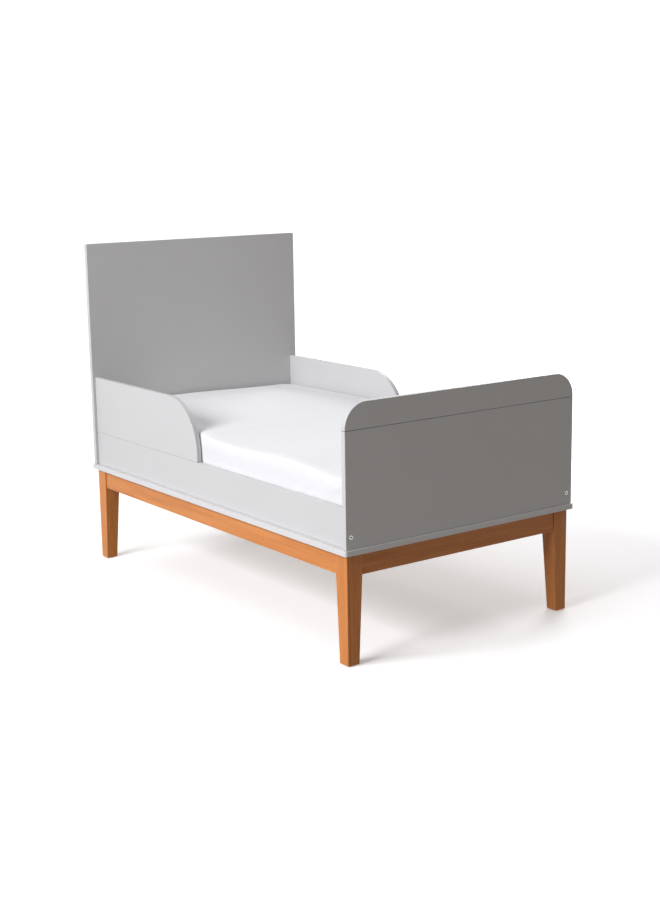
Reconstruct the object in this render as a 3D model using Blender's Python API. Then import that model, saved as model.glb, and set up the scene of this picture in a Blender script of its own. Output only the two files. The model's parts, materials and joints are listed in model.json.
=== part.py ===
"""Toddler bed: painted board sides on a stained wooden base, with slats, a mattress and a fitted sheet.

+X runs towards the foot, +Z up, and the origin is on the floor at the middle of the bed.
The left side is -Y. All sizes are in metres.
"""

import math

import bmesh
import bpy
from mathutils import Matrix, Vector

# Overall sizes
BED_LENGTH = 1.345  # outer face of the headboard to outer face of the footboard
BED_WIDTH = 0.780  # width of the headboard and footboard
BOARD_THICKNESS = 0.015  # every painted board that stands upright

# Gaps
JOINT_GAP = 0.0003  # between faces that touch
BOLT_CLEARANCE = 0.0005  # on the radius of a bolt in its bore
DOWEL_CLEARANCE = 0.0003  # on the radius of a dowel in its bore
DOWEL_END_GAP = 0.002  # past each end of a dowel
SLAT_END_GAP = 0.003  # between a slat and the side rail
MATTRESS_GAP = 0.0005  # between the mattress core and its sheet

# Painted boards
SIDE_INSET = 0.009  # side rail's outer face in from the end boards' edges
HEADBOARD_HEIGHT = 0.697
HEADBOARD_CORNER = 0.004
FOOTBOARD_PANEL_HEIGHT = 0.301
FOOTBOARD_TOP_HEIGHT = 0.069
FOOTBOARD_CORNER = 0.067
SIDE_RAIL_HEIGHT = 0.104
GUARD_LENGTH = 0.611
GUARD_HEIGHT = 0.175
GUARD_CORNER = 0.150
BOARD_EDGE = 0.0011  # rounding of the painted boards' edges

# Plinth
PLINTH_THICKNESS = 0.015
PLINTH_OVERHANG = 0.005
PLINTH_BOARD_WIDTH = 0.075
PLINTH_CORNER = 0.006
PLINTH_EDGE = 0.0013

# Wooden base
BASE_HEIGHT = 0.293  # floor to the underside of the plinth
LEG_INSET = 0.013  # leg's outer faces in from the plinth's edge
LEG_TOP_WIDTH = 0.048
LEG_FOOT_WIDTH = 0.036
LEG_CORNER_FLAT = 0.010  # how far the flat behind the apron cuts into each inner face
APRON_HEIGHT = 0.058
APRON_THICKNESS = 0.018
APRON_RECESS = 0.003
WOOD_EDGE = 0.0012
BLOCK_THICKNESS = 0.024
BLOCK_HEIGHT = 0.044
GLIDE_RADIUS = 0.012
GLIDE_HEIGHT = 0.002
GLIDE_PIN_RADIUS = 0.0025
GLIDE_PIN_LENGTH = 0.014

# Fasteners
END_BOLT_HEIGHT = 0.032  # above the plinth
END_BOLT_RADIUS = 0.003
END_BOLT_HEAD_RADIUS = 0.0062
END_BOLT_HEAD_HEIGHT = 0.0036
END_BOLT_HEAD_DEPTH = 0.0012  # how far the head sits below the board's face
END_BOLT_LENGTH = 0.055
COUNTERBORE_CLEARANCE = 0.0008
HEX_KEY_WIDTH = 0.005
HEX_SOCKET_DEPTH = 0.0022
BOLT_CHAMFER = 0.0006
BARREL_NUT_RADIUS = 0.005
BARREL_NUT_COVER = 0.002  # board left on each side of the nut
BARREL_NUT_FROM_END = 0.030  # rail's end to the nut's axis
LEG_BOLT_RADIUS = 0.003
LEG_BOLT_IN_LEG = 0.022  # length of the bolt inside the leg
LEG_BOLT_HEAD_RADIUS = 0.0065
LEG_BOLT_HEAD_HEIGHT = 0.004
BORE_END_GAP = 0.002  # past the tip of a bolt or a pin
DOWEL_RADIUS = 0.004
DOWEL_LENGTH = 0.036
DOWEL_CHAMFER = 0.001
DOWEL_MARGIN = 0.110  # from the end of a board to its first dowel
FOOTBOARD_DOWELS = 3
GUARD_DOWELS = 2

# Slatted base
SLAT_COUNT = 10
SLAT_WIDTH = 0.070
SLAT_THICKNESS = 0.016
SLAT_TOP_HEIGHT = 0.0635  # above the plinth
SLAT_EDGE = 0.002
LEDGER_HEIGHT = 0.030
LEDGER_THICKNESS = 0.022
LEDGER_NUT_GAP = 0.006  # from a barrel nut to the ledger's end
NOTCH_DEPTH = 0.004

# Mattress and sheet
MATTRESS_END_GAP = 0.004  # between the sheet and each end board
MATTRESS_SIDE_GAP = 0.006  # between the sheet and each side rail
MATTRESS_THICKNESS = 0.121
MATTRESS_CORNER = 0.035
MATTRESS_EDGE = 0.010
SHEET_THICKNESS = 0.0012
SHEET_HEM = 0.060  # how far the sheet reaches in under the mattress

# Places that follow from the sizes
PLINTH_TOP = BASE_HEIGHT + PLINTH_THICKNESS
BOARD_BOTTOM = PLINTH_TOP + JOINT_GAP
END_OUTER = BED_LENGTH / 2
END_INNER = END_OUTER - BOARD_THICKNESS
END_MIDDLE = END_OUTER - BOARD_THICKNESS / 2
SIDE_MIDDLE = BED_WIDTH / 2 - SIDE_INSET - BOARD_THICKNESS / 2
SIDE_INNER = SIDE_MIDDLE - BOARD_THICKNESS / 2
RAIL_TOP = PLINTH_TOP + SIDE_RAIL_HEIGHT
FOOTBOARD_JOINT = PLINTH_TOP + FOOTBOARD_PANEL_HEIGHT
PLINTH_HALF_LENGTH = END_OUTER + PLINTH_OVERHANG
PLINTH_HALF_WIDTH = BED_WIDTH / 2 + PLINTH_OVERHANG
LEG_OUTER_X = PLINTH_HALF_LENGTH - LEG_INSET
LEG_OUTER_Y = PLINTH_HALF_WIDTH - LEG_INSET
LEG_BOTTOM = GLIDE_HEIGHT + JOINT_GAP
LEG_TOP = BASE_HEIGHT - JOINT_GAP
APRON_BOTTOM = BASE_HEIGHT - APRON_HEIGHT
APRON_DEPTH = APRON_RECESS + APRON_THICKNESS  # apron's inner face in from the leg's outer face
APRON_MIDDLE_Z = (APRON_BOTTOM + LEG_TOP) / 2
LEG_FLAT_SUM = 2 * LEG_TOP_WIDTH - LEG_CORNER_FLAT  # u + v along the flat on the leg's corner
BOLT_Z = PLINTH_TOP + END_BOLT_HEIGHT
SLAT_TOP = PLINTH_TOP + SLAT_TOP_HEIGHT
SLAT_BOTTOM = SLAT_TOP - SLAT_THICKNESS
LEDGER_TOP = SLAT_BOTTOM + NOTCH_DEPTH - JOINT_GAP
SHEET_OUT = MATTRESS_GAP + SHEET_THICKNESS  # mattress core's surface to the sheet's outer surface
CORE_HALF_LENGTH = END_INNER - MATTRESS_END_GAP - SHEET_OUT
CORE_HALF_WIDTH = SIDE_INNER - MATTRESS_SIDE_GAP - SHEET_OUT

SHOWN_STEPS = 24  # sides of a round piece that shows
HIDDEN_STEPS = 12  # sides of a round piece inside the wood
GUARD_CORNER_STEPS = 24
FOOTBOARD_CORNER_STEPS = 14
SMALL_CORNER_STEPS = 4  # corners of the headboard and the plinth
PAD_CORNER_STEPS = 5  # corners of the mattress, seen from above
PAD_EDGE_STEPS = 3  # the mattress's rounding from its top to its sides
OVERSHOOT = 0.005  # how far a cutter runs past the face that it opens
WELD_DISTANCE = 0.00001  # joins the near-double points that a bevel leaves where it ends
SIDES = {"left": -1, "right": 1}
ENDS = {"head": -1, "foot": 1}
CORNER_TURNS = {(1, 1): 0, (-1, 1): 90, (-1, -1): 180, (1, -1): 270}


def material(name, colour, roughness, metallic=0.0):
    """A finish with one colour, given as linear red, green and blue."""
    made = bpy.data.materials.new(name)
    made.use_nodes = True
    shader = made.node_tree.nodes["Principled BSDF"]
    shader.inputs["Base Color"].default_value = (*colour, 1.0)
    shader.inputs["Roughness"].default_value = roughness
    shader.inputs["Metallic"].default_value = metallic
    made.diffuse_color = (*colour, 1.0)
    return made


def add_object(name, mesh, finish=None, location=(0, 0, 0), turn=0, parent=None):
    """A new object, turned about Z in degrees."""
    made = bpy.data.objects.new(name, mesh)
    bpy.context.scene.collection.objects.link(made)
    made.location = location
    made.rotation_euler.z = math.radians(turn)
    made.parent = parent
    if finish and not mesh.materials:
        mesh.materials.append(finish)
    return made


def mesh_from(name, build):
    """A mesh that the function build fills in, with its faces turned outwards."""
    shape = bmesh.new()
    build(shape)
    bmesh.ops.recalc_face_normals(shape, faces=shape.faces)
    mesh = bpy.data.meshes.new(name)
    shape.to_mesh(mesh)
    shape.free()
    mesh.shade_smooth()
    mesh.set_sharp_from_angle(angle=math.radians(35))
    return mesh


def prism_mesh(name, outline, along, start, end):
    """An outline of pairs, in the two other coordinates in X, Y, Z order, extruded along an axis."""
    axis = "XYZ".index(along)

    def build(shape):
        corners = []
        for pair in outline:
            place = list(pair)
            place.insert(axis, start)
            corners.append(shape.verts.new(place))
        face = shape.faces.new(corners)
        grown = bmesh.ops.extrude_face_region(shape, geom=[face])
        moved = [item for item in grown["geom"] if isinstance(item, bmesh.types.BMVert)]
        shift = Vector((0, 0, 0))
        shift[axis] = end - start
        bmesh.ops.translate(shape, verts=moved, vec=shift)

    return mesh_from(name, build)


def box_outline(low, high):
    return [(low[0], low[1]), (high[0], low[1]), (high[0], high[1]), (low[0], high[1])]


def centred_box_mesh(name, length, width, height):
    """A box centred in X and Y that stands on Z = 0."""
    outline = box_outline((-length / 2, -width / 2), (length / 2, width / 2))
    return prism_mesh(name, outline, "Z", 0, height)


def arc(centre, radius, start, end, steps):
    """Points on an arc, with angles in degrees."""
    points = []
    for step in range(steps + 1):
        angle = math.radians(start + (end - start) * step / steps)
        points.append((centre[0] + radius * math.cos(angle), centre[1] + radius * math.sin(angle)))
    return points


def turned_mesh(name, profile, steps=HIDDEN_STEPS, turn=0.0):
    """A solid turned about +Z from (radius, height) points, of which the first and last are on the axis.

    Its sides are turned by the given share of one side.
    """

    def build(shape):
        rings = []
        for radius, height in profile:
            if radius == 0:
                rings.append([shape.verts.new((0, 0, height))])
                continue
            angles = [2 * math.pi * (step + turn) / steps for step in range(steps)]
            places = [(radius * math.cos(a), radius * math.sin(a), height) for a in angles]
            rings.append([shape.verts.new(place) for place in places])
        for lower, upper in zip(rings, rings[1:]):
            join_rings(shape, lower, upper)

    return mesh_from(name, build)


def join_rings(shape, lower, upper):
    """Faces between two rings of points, of which one may be a single point."""
    count = max(len(lower), len(upper))
    for step in range(count):
        near = [lower[step % len(lower)], lower[(step + 1) % len(lower)]]
        far = [upper[(step + 1) % len(upper)], upper[step % len(upper)]]
        shape.faces.new(dict.fromkeys(near + far))


def stepped(*stages):
    """Profile of a stepped round solid, from (radius, low, high) stages that rise one after another."""
    profile = [(0, stages[0][1])]
    for radius, low, high in stages:
        profile.append((radius, low))
        profile.append((radius, high))
    profile.append((0, stages[-1][2]))
    return profile


def rounded(target, width, segments=2, limit="ANGLE"):
    bevel = target.modifiers.new("edge_rounding", "BEVEL")
    bevel.width = width
    bevel.segments = segments
    bevel.limit_method = limit
    bevel.angle_limit = math.radians(40)
    weld = target.modifiers.new("close_points", "WELD")
    weld.merge_threshold = WELD_DISTANCE
    return target


def mark_level_edges(mesh):
    """Marks the edges that lie level, so that a weighted bevel rounds only a board's top and bottom rims."""
    weights = mesh.attributes.new("bevel_weight_edge", "FLOAT", "EDGE")
    for edge in mesh.edges:
        first, second = (mesh.vertices[index].co.z for index in edge.vertices)
        weights.data[edge.index].value = float(abs(first - second) < JOINT_GAP)
    return mesh


def cutter(name, mesh, location=(0, 0, 0), direction=(0, 0, 1), parent=None):
    """A solid that only cuts others and isn't part of the bed. Its +Z is turned to the direction."""
    made = add_object(name, mesh, location=location, parent=parent)
    aim(made, direction)
    made.hide_render = True
    made.display_type = "WIRE"
    return made


def aim(target, direction):
    target.rotation_euler = Vector((0, 0, 1)).rotation_difference(Vector(direction)).to_euler()
    return target


def cut(target, *tools):
    for tool in tools:
        boolean = target.modifiers.new(tool.name, "BOOLEAN")
        boolean.operation = "DIFFERENCE"
        boolean.solver = "EXACT"
        boolean.object = tool


def carved_mesh(name, solid, tool):
    """The first mesh with the second cut out of it, as a new mesh that several objects can share."""
    target = add_object(name, solid)
    remover = cutter(name + "_tool", tool)
    cut(target, remover)
    bpy.context.view_layer.update()
    evaluated = target.evaluated_get(bpy.context.evaluated_depsgraph_get())
    mesh = bpy.data.meshes.new_from_object(evaluated)
    mesh.name = name
    bpy.data.objects.remove(target)
    bpy.data.objects.remove(remover)
    return mesh


def hexagon(across_flats):
    return arc((0, 0), across_flats / math.sqrt(3), 0, 300, 5)


def socket_bolt_mesh(name, steps, radius, length, head_radius, head_height):
    """A bolt along Z: its head stands on Z = 0 with a hexagonal socket, and its shank hangs below."""
    profile = [
        (0, -length),
        (radius - BOLT_CHAMFER, -length),
        (radius, -length + BOLT_CHAMFER),
        (radius, 0),
        (head_radius, 0),
        (head_radius, head_height - BOLT_CHAMFER),
        (head_radius - BOLT_CHAMFER, head_height),
        (0, head_height),
    ]
    floor, top = head_height - HEX_SOCKET_DEPTH, head_height + OVERSHOOT
    socket = prism_mesh(name + "_socket", hexagon(HEX_KEY_WIDTH), "Z", floor, top)
    return carved_mesh(name, turned_mesh(name, profile, steps), socket)


def bolt_bore_mesh(name, steps, radius, length, head_radius, head_height):
    """What a bolt and its head need cut away, around the bolt that socket_bolt_mesh makes."""
    shank = (radius + BOLT_CLEARANCE, -length - BORE_END_GAP, -JOINT_GAP)
    head = (head_radius + COUNTERBORE_CLEARANCE, -JOINT_GAP, head_height + OVERSHOOT)
    return turned_mesh(name, stepped(shank, head), steps)


def end_boards(finish):
    """Headboard, and the footboard's panel and rounded top piece."""
    half = BED_WIDTH / 2
    skin = (-BOARD_THICKNESS / 2, BOARD_THICKNESS / 2)
    headboard_height = HEADBOARD_HEIGHT - JOINT_GAP
    outline = round_topped_outline(half, headboard_height, HEADBOARD_CORNER, SMALL_CORNER_STEPS)
    mesh = prism_mesh("headboard", outline, "X", *skin)
    head = add_object("headboard", mesh, finish, (-END_MIDDLE, 0, BOARD_BOTTOM))

    outline = box_outline((-half, 0), (half, FOOTBOARD_JOINT - BOARD_BOTTOM))
    mesh = prism_mesh("footboard_panel", outline, "X", *skin)
    panel = add_object("footboard_panel", mesh, finish, (END_MIDDLE, 0, BOARD_BOTTOM))

    top_height = FOOTBOARD_TOP_HEIGHT - JOINT_GAP
    corner = min(FOOTBOARD_CORNER, top_height - 2 * BOARD_EDGE)
    outline = round_topped_outline(half, top_height, corner, FOOTBOARD_CORNER_STEPS)
    mesh = prism_mesh("footboard_top", outline, "X", *skin)
    top_piece = add_object("footboard_top", mesh, finish, (END_MIDDLE, 0, FOOTBOARD_JOINT + JOINT_GAP))
    return [rounded(board, BOARD_EDGE) for board in (head, panel, top_piece)]


def round_topped_outline(half, height, corner, steps):
    """A board outline in Y and Z that stands on Z = 0 and has its two top corners rounded."""
    side, turn = half - corner, height - corner
    outline = [(-half, 0), (half, 0)]
    outline += arc((side, turn), corner, 0, 90, steps)
    outline += arc((-side, turn), corner, 90, 180, steps)
    return outline


def side_boards(finish):
    """Side rails, and the guards that stand on them against the headboard."""
    skin = (-BOARD_THICKNESS / 2, BOARD_THICKNESS / 2)
    half_length = END_INNER - JOINT_GAP
    outline = box_outline((-half_length, 0), (half_length, RAIL_TOP - BOARD_BOTTOM))
    rail_mesh = prism_mesh("side_rail", outline, "Y", *skin)

    height = GUARD_HEIGHT - JOINT_GAP
    corner = min(GUARD_CORNER, height - 2 * BOARD_EDGE)
    outline = [(JOINT_GAP, 0), (GUARD_LENGTH, 0)]
    outline += arc((GUARD_LENGTH - corner, height - corner), corner, 0, 90, GUARD_CORNER_STEPS)
    outline.append((JOINT_GAP, height))
    guard_mesh = prism_mesh("guard", outline, "Y", *skin)

    rails, guards = {}, {}
    for side, sign in SIDES.items():
        rail = add_object("side_rail_" + side, rail_mesh, finish, (0, sign * SIDE_MIDDLE, BOARD_BOTTOM))
        place = (-END_INNER, sign * SIDE_MIDDLE, RAIL_TOP + JOINT_GAP)
        guard = add_object("guard_" + side, guard_mesh, finish, place)
        rails[side] = rounded(rail, BOARD_EDGE)
        guards[side] = rounded(guard, BOARD_EDGE)
    return rails, guards


def mitred_outline(half_length, half_width):
    """One side of the plinth frame in X and Y, along -Y, mitred at both ends and round at its corners."""
    half_gap = JOINT_GAP / 2
    short = math.degrees(half_gap / PLINTH_CORNER)
    turn_x, turn_y = half_length - PLINTH_CORNER, -half_width + PLINTH_CORNER
    inner_y = -half_width + PLINTH_BOARD_WIDTH
    inner_x = half_length - PLINTH_BOARD_WIDTH - half_gap * math.sqrt(2)
    outline = arc((-turn_x, turn_y), PLINTH_CORNER, 225 + short, 270, SMALL_CORNER_STEPS)
    outline += arc((turn_x, turn_y), PLINTH_CORNER, 270, 315 - short, SMALL_CORNER_STEPS)
    return outline + [(inner_x, inner_y), (-inner_x, inner_y)]


def plinth(finish):
    side = mitred_outline(PLINTH_HALF_LENGTH, PLINTH_HALF_WIDTH)
    side_mesh = mark_level_edges(prism_mesh("plinth_side", side, "Z", 0, PLINTH_THICKNESS))
    end = mitred_outline(PLINTH_HALF_WIDTH, PLINTH_HALF_LENGTH)
    end_mesh = mark_level_edges(prism_mesh("plinth_end", end, "Z", 0, PLINTH_THICKNESS))
    places = [
        ("plinth_left", side_mesh, 0),
        ("plinth_right", side_mesh, 180),
        ("plinth_foot", end_mesh, 90),
        ("plinth_head", end_mesh, 270),
    ]
    for name, mesh, turn in places:
        rounded(add_object(name, mesh, finish, (0, 0, BASE_HEIGHT), turn), PLINTH_EDGE, limit="WEIGHT")


def bolt_end_boards(head, foot, rails, steel):
    """Socket bolts through the end boards, drawn into barrel nuts in the ends of the side rails."""
    shape = (END_BOLT_RADIUS, END_BOLT_LENGTH, END_BOLT_HEAD_RADIUS, END_BOLT_HEAD_HEIGHT)
    bolt_mesh = socket_bolt_mesh("end_bolt", SHOWN_STEPS, *shape)
    bore_mesh = bolt_bore_mesh("end_bolt_bore", SHOWN_STEPS, *shape)
    nut_mesh = barrel_nut_mesh()
    pocket_depth = BOARD_THICKNESS - BARREL_NUT_COVER + JOINT_GAP
    pocket_profile = stepped((BARREL_NUT_RADIUS + DOWEL_CLEARANCE, -OVERSHOOT, pocket_depth))
    nut_bore = turned_mesh("barrel_nut_bore", pocket_profile, turn=0.5)
    seat = END_OUTER - END_BOLT_HEAD_DEPTH - END_BOLT_HEAD_HEIGHT
    nut_x = END_INNER - JOINT_GAP - BARREL_NUT_FROM_END
    for end, x_sign in ENDS.items():
        board = {"head": head, "foot": foot}[end]
        for side, y_sign in SIDES.items():
            name = end + "_" + side
            place = (x_sign * seat, y_sign * SIDE_MIDDLE, BOLT_Z)
            outwards = (x_sign, 0, 0)
            aim(add_object("end_bolt_" + name, bolt_mesh, steel, place), outwards)
            bore = cutter("cut_end_bolt_" + name, bore_mesh, place, outwards)
            nut_place = (x_sign * nut_x, y_sign * SIDE_MIDDLE, BOLT_Z)
            add_object("barrel_nut_" + name, nut_mesh, steel, nut_place)
            mouth = (x_sign * nut_x, y_sign * SIDE_INNER, BOLT_Z)
            pocket = cutter("cut_barrel_nut_" + name, nut_bore, mouth, (0, y_sign, 0))
            cut(board, bore)
            cut(rails[side], bore, pocket)


def barrel_nut_mesh():
    """A short steel cylinder along Y, with the bolt's bore across it along X."""
    length = BOARD_THICKNESS - 2 * BARREL_NUT_COVER
    body = turned_mesh("barrel_nut", stepped((BARREL_NUT_RADIUS, -length / 2, length / 2)), turn=0.5)
    body.transform(Matrix.Rotation(math.radians(90), 4, "X"))
    reach = BARREL_NUT_RADIUS + OVERSHOOT
    bore = turned_mesh("barrel_nut_cut", stepped((END_BOLT_RADIUS + BOLT_CLEARANCE, -reach, reach)))
    bore.transform(Matrix.Rotation(math.radians(90), 4, "Y"))
    return carved_mesh("barrel_nut", body, bore)


def dowel_row(name, count, first, last, lower, upper, finish, shared):
    """Dowels standing across the joint of two boards, spaced evenly between two places."""
    dowel_mesh, bore_mesh = shared
    for number in range(count):
        place = Vector(first).lerp(Vector(last), number / (count - 1))
        label = f"{name}_{number + 1}"
        add_object(label, dowel_mesh, finish, place)
        bore = cutter("cut_" + label, bore_mesh, place)
        cut(lower, bore)
        cut(upper, bore)


def dowels(footboard, rails, guards, finish):
    half = DOWEL_LENGTH / 2
    profile = [
        (0, -half),
        (DOWEL_RADIUS - DOWEL_CHAMFER, -half),
        (DOWEL_RADIUS, -half + DOWEL_CHAMFER),
        (DOWEL_RADIUS, half - DOWEL_CHAMFER),
        (DOWEL_RADIUS - DOWEL_CHAMFER, half),
        (0, half),
    ]
    reach = half + DOWEL_END_GAP
    shared = (
        turned_mesh("dowel", profile),
        turned_mesh("dowel_bore", stepped((DOWEL_RADIUS + DOWEL_CLEARANCE, -reach, reach))),
    )
    _, panel, top_piece = footboard
    y = BED_WIDTH / 2 - DOWEL_MARGIN
    first, last = (END_MIDDLE, -y, FOOTBOARD_JOINT), (END_MIDDLE, y, FOOTBOARD_JOINT)
    dowel_row("footboard_dowel", FOOTBOARD_DOWELS, first, last, panel, top_piece, finish, shared)
    for side, sign in SIDES.items():
        first = (-END_INNER + DOWEL_MARGIN, sign * SIDE_MIDDLE, RAIL_TOP)
        last = (-END_INNER + GUARD_LENGTH - DOWEL_MARGIN, sign * SIDE_MIDDLE, RAIL_TOP)
        name = "guard_dowel_" + side
        dowel_row(name, GUARD_DOWELS, first, last, rails[side], guards[side], finish, shared)


def leg_mesh():
    """A leg with its outer corner on the origin. Its two inner faces taper below the aprons."""

    def build(shape):
        rings = []
        for width, height in (
            (LEG_FOOT_WIDTH, LEG_BOTTOM),
            (LEG_TOP_WIDTH, APRON_BOTTOM),
            (LEG_TOP_WIDTH, LEG_TOP),
        ):
            ring = [(0, 0), (-width, 0), (-width, -width), (0, -width)]
            rings.append([shape.verts.new((*pair, height)) for pair in ring])
        for lower, upper in zip(rings, rings[1:]):
            join_rings(shape, lower, upper)
        shape.faces.new(rings[0])
        shape.faces.new(rings[-1])

    return mesh_from("leg", build)


def corner_block_outline():
    """The block behind a leg in X and Y: it spans the two aprons and lies flat against the leg."""
    start = APRON_DEPTH + JOINT_GAP
    near = LEG_FLAT_SUM + JOINT_GAP * math.sqrt(2)
    far = near + BLOCK_THICKNESS * math.sqrt(2)
    return [(-start, start - near), (-start, start - far), (start - far, -start), (start - near, -start)]


def leg_flat_outline():
    """The corner cut off each leg where its block lies against it."""
    reach = LEG_TOP_WIDTH + OVERSHOOT
    return [(-reach, -reach), (-reach, reach - LEG_FLAT_SUM), (reach - LEG_FLAT_SUM, -reach)]


def glide_profile():
    pin_top = GLIDE_HEIGHT + GLIDE_PIN_LENGTH
    edge = GLIDE_HEIGHT / 4
    return [
        (0, 0),
        (GLIDE_RADIUS - edge, 0),
        (GLIDE_RADIUS, edge),
        (GLIDE_RADIUS, GLIDE_HEIGHT),
        (GLIDE_PIN_RADIUS, GLIDE_HEIGHT),
        (GLIDE_PIN_RADIUS, pin_top),
        (0, pin_top),
    ]


def legs(wood, rough_wood, steel, plastic):
    """The four corners of the base: leg, corner block, leg bolt and glide, each set on its own empty."""
    block_low = APRON_MIDDLE_Z - BLOCK_HEIGHT / 2
    block_face = LEG_FLAT_SUM / 2 + (JOINT_GAP + BLOCK_THICKNESS) / math.sqrt(2)
    head_seat = -block_face - JOINT_GAP / math.sqrt(2)
    bolt_length = BLOCK_THICKNESS + 2 * JOINT_GAP + LEG_BOLT_IN_LEG
    bolt_shape = (LEG_BOLT_RADIUS, bolt_length, LEG_BOLT_HEAD_RADIUS, LEG_BOLT_HEAD_HEIGHT)
    foot_middle = -LEG_FOOT_WIDTH / 2
    pin_reach = GLIDE_HEIGHT + GLIDE_PIN_LENGTH + BORE_END_GAP
    pin_bore = stepped((GLIDE_PIN_RADIUS + DOWEL_CLEARANCE, -OVERSHOOT, pin_reach))
    meshes = {
        "leg": leg_mesh(),
        "block": prism_mesh("corner_block", corner_block_outline(), "Z", 0, BLOCK_HEIGHT),
        "bolt": socket_bolt_mesh("leg_bolt", HIDDEN_STEPS, *bolt_shape),
        "bolt_bore": bolt_bore_mesh("leg_bolt_bore", HIDDEN_STEPS, *bolt_shape),
        "glide": turned_mesh("glide", glide_profile(), SHOWN_STEPS),
        "pin_bore": turned_mesh("glide_pin_bore", pin_bore),
        "flat": prism_mesh("leg_flat", leg_flat_outline(), "Z", block_low - JOINT_GAP, LEG_TOP + OVERSHOOT),
    }
    for end, x_sign in ENDS.items():
        for side, y_sign in SIDES.items():
            name = end + "_" + side
            corner = add_object("corner_" + name, None)
            corner.location = (x_sign * LEG_OUTER_X, y_sign * LEG_OUTER_Y, 0)
            corner.rotation_euler.z = math.radians(CORNER_TURNS[x_sign, y_sign])
            leg = add_object("leg_" + name, meshes["leg"], wood, parent=corner)
            place = (0, 0, block_low)
            block = add_object("corner_block_" + name, meshes["block"], rough_wood, place, parent=corner)
            seat = (head_seat, head_seat, APRON_MIDDLE_Z)
            inwards = (-1, -1, 0)
            bolt = add_object("leg_bolt_" + name, meshes["bolt"], steel, seat, parent=corner)
            aim(bolt, inwards)
            bore = cutter("cut_leg_bolt_" + name, meshes["bolt_bore"], seat, inwards, corner)
            foot = (foot_middle, foot_middle, 0)
            add_object("glide_" + name, meshes["glide"], plastic, foot, parent=corner)
            pin = cutter("cut_glide_pin_" + name, meshes["pin_bore"], foot, parent=corner)
            flat = cutter("cut_leg_flat_" + name, meshes["flat"], parent=corner)
            rounded(leg, WOOD_EDGE)
            cut(leg, flat, bore, pin)
            cut(block, bore)


def aprons(finish):
    """Rails between the legs, set back a little from the legs' outer faces."""
    height = LEG_TOP - APRON_BOTTOM
    length = 2 * (LEG_OUTER_X - LEG_TOP_WIDTH - JOINT_GAP)
    width = 2 * (LEG_OUTER_Y - LEG_TOP_WIDTH - JOINT_GAP)
    long_mesh = centred_box_mesh("apron_side", length, APRON_THICKNESS, height)
    short_mesh = centred_box_mesh("apron_end", APRON_THICKNESS, width, height)
    inset = APRON_RECESS + APRON_THICKNESS / 2
    for side, sign in SIDES.items():
        place = (0, sign * (LEG_OUTER_Y - inset), APRON_BOTTOM)
        rounded(add_object("apron_" + side, long_mesh, finish, place), WOOD_EDGE)
    for end, sign in ENDS.items():
        place = (sign * (LEG_OUTER_X - inset), 0, APRON_BOTTOM)
        rounded(add_object("apron_" + end, short_mesh, finish, place), WOOD_EDGE)


def slat_centres():
    """X of each slat's middle, with equal gaps between the slats and to the end boards."""
    gap = (2 * END_INNER - SLAT_COUNT * SLAT_WIDTH) / (SLAT_COUNT + 1)
    first = -END_INNER + gap + SLAT_WIDTH / 2
    return [first + number * (SLAT_WIDTH + gap) for number in range(SLAT_COUNT)]


def notch_cutter():
    """All the notches that the slats drop into, as one cutter across both ledgers."""

    def build(shape):
        width = SLAT_WIDTH + 2 * JOINT_GAP
        for x in slat_centres():
            size = Matrix.Diagonal((width, 2 * SIDE_MIDDLE, OVERSHOOT + NOTCH_DEPTH, 1))
            middle = SLAT_BOTTOM - JOINT_GAP + (OVERSHOOT + NOTCH_DEPTH) / 2
            bmesh.ops.create_cube(shape, size=1, matrix=Matrix.Translation((x, 0, middle)) @ size)

    return cutter("cut_slat_notches", mesh_from("slat_notches", build))


def slats(wood):
    length = 2 * (SIDE_INNER - SLAT_END_GAP)
    slat_mesh = centred_box_mesh("slat", SLAT_WIDTH, length, SLAT_THICKNESS)
    for number, x in enumerate(slat_centres(), 1):
        slat = add_object(f"slat_{number:02d}", slat_mesh, wood, (x, 0, SLAT_BOTTOM))
        rounded(slat, SLAT_EDGE, 1)

    end_gap = JOINT_GAP + BARREL_NUT_FROM_END + BARREL_NUT_RADIUS + LEDGER_NUT_GAP
    ledger_length = 2 * (END_INNER - end_gap)
    ledger_mesh = centred_box_mesh("ledger", ledger_length, LEDGER_THICKNESS, LEDGER_HEIGHT)
    notches = notch_cutter()
    y = SIDE_INNER - JOINT_GAP - LEDGER_THICKNESS / 2
    for side, sign in SIDES.items():
        ledger = add_object("ledger_" + side, ledger_mesh, wood, (0, sign * y, LEDGER_TOP - LEDGER_HEIGHT))
        cut(ledger, notches)


def rounded_rectangle(half_length, half_width, radius):
    outline = []
    for turn, x, y in ((0, 1, 1), (90, -1, 1), (180, -1, -1), (270, 1, -1)):
        centre = (x * (half_length - radius), y * (half_width - radius))
        outline += arc(centre, radius, turn, turn + 90, PAD_CORNER_STEPS)
    return outline


def pad_rings(shape, grow):
    """Rings of a pad with round edges, from its underside to its top, grown by an even amount."""
    edge = MATTRESS_EDGE + grow
    half_length = CORE_HALF_LENGTH + grow
    half_width = CORE_HALF_WIDTH + grow
    rings = []
    for low in (True, False):
        for step in range(PAD_EDGE_STEPS + 1):
            angle = math.radians(90 * step / PAD_EDGE_STEPS)
            inset = edge * (1 - (math.sin(angle) if low else math.cos(angle)))
            rise = edge * (1 - math.cos(angle)) if low else edge * math.sin(angle) - edge
            height = rise - grow if low else MATTRESS_THICKNESS + grow + rise
            corner = MATTRESS_CORNER + grow - inset
            outline = rounded_rectangle(half_length - inset, half_width - inset, corner)
            rings.append([shape.verts.new((*pair, height)) for pair in outline])
    for lower, upper in zip(rings, rings[1:]):
        join_rings(shape, lower, upper)
    shape.faces.new(rings[-1])
    return rings


def core_mesh():
    def build(shape):
        shape.faces.new(pad_rings(shape, 0)[0])

    return mesh_from("mattress", build)


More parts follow.
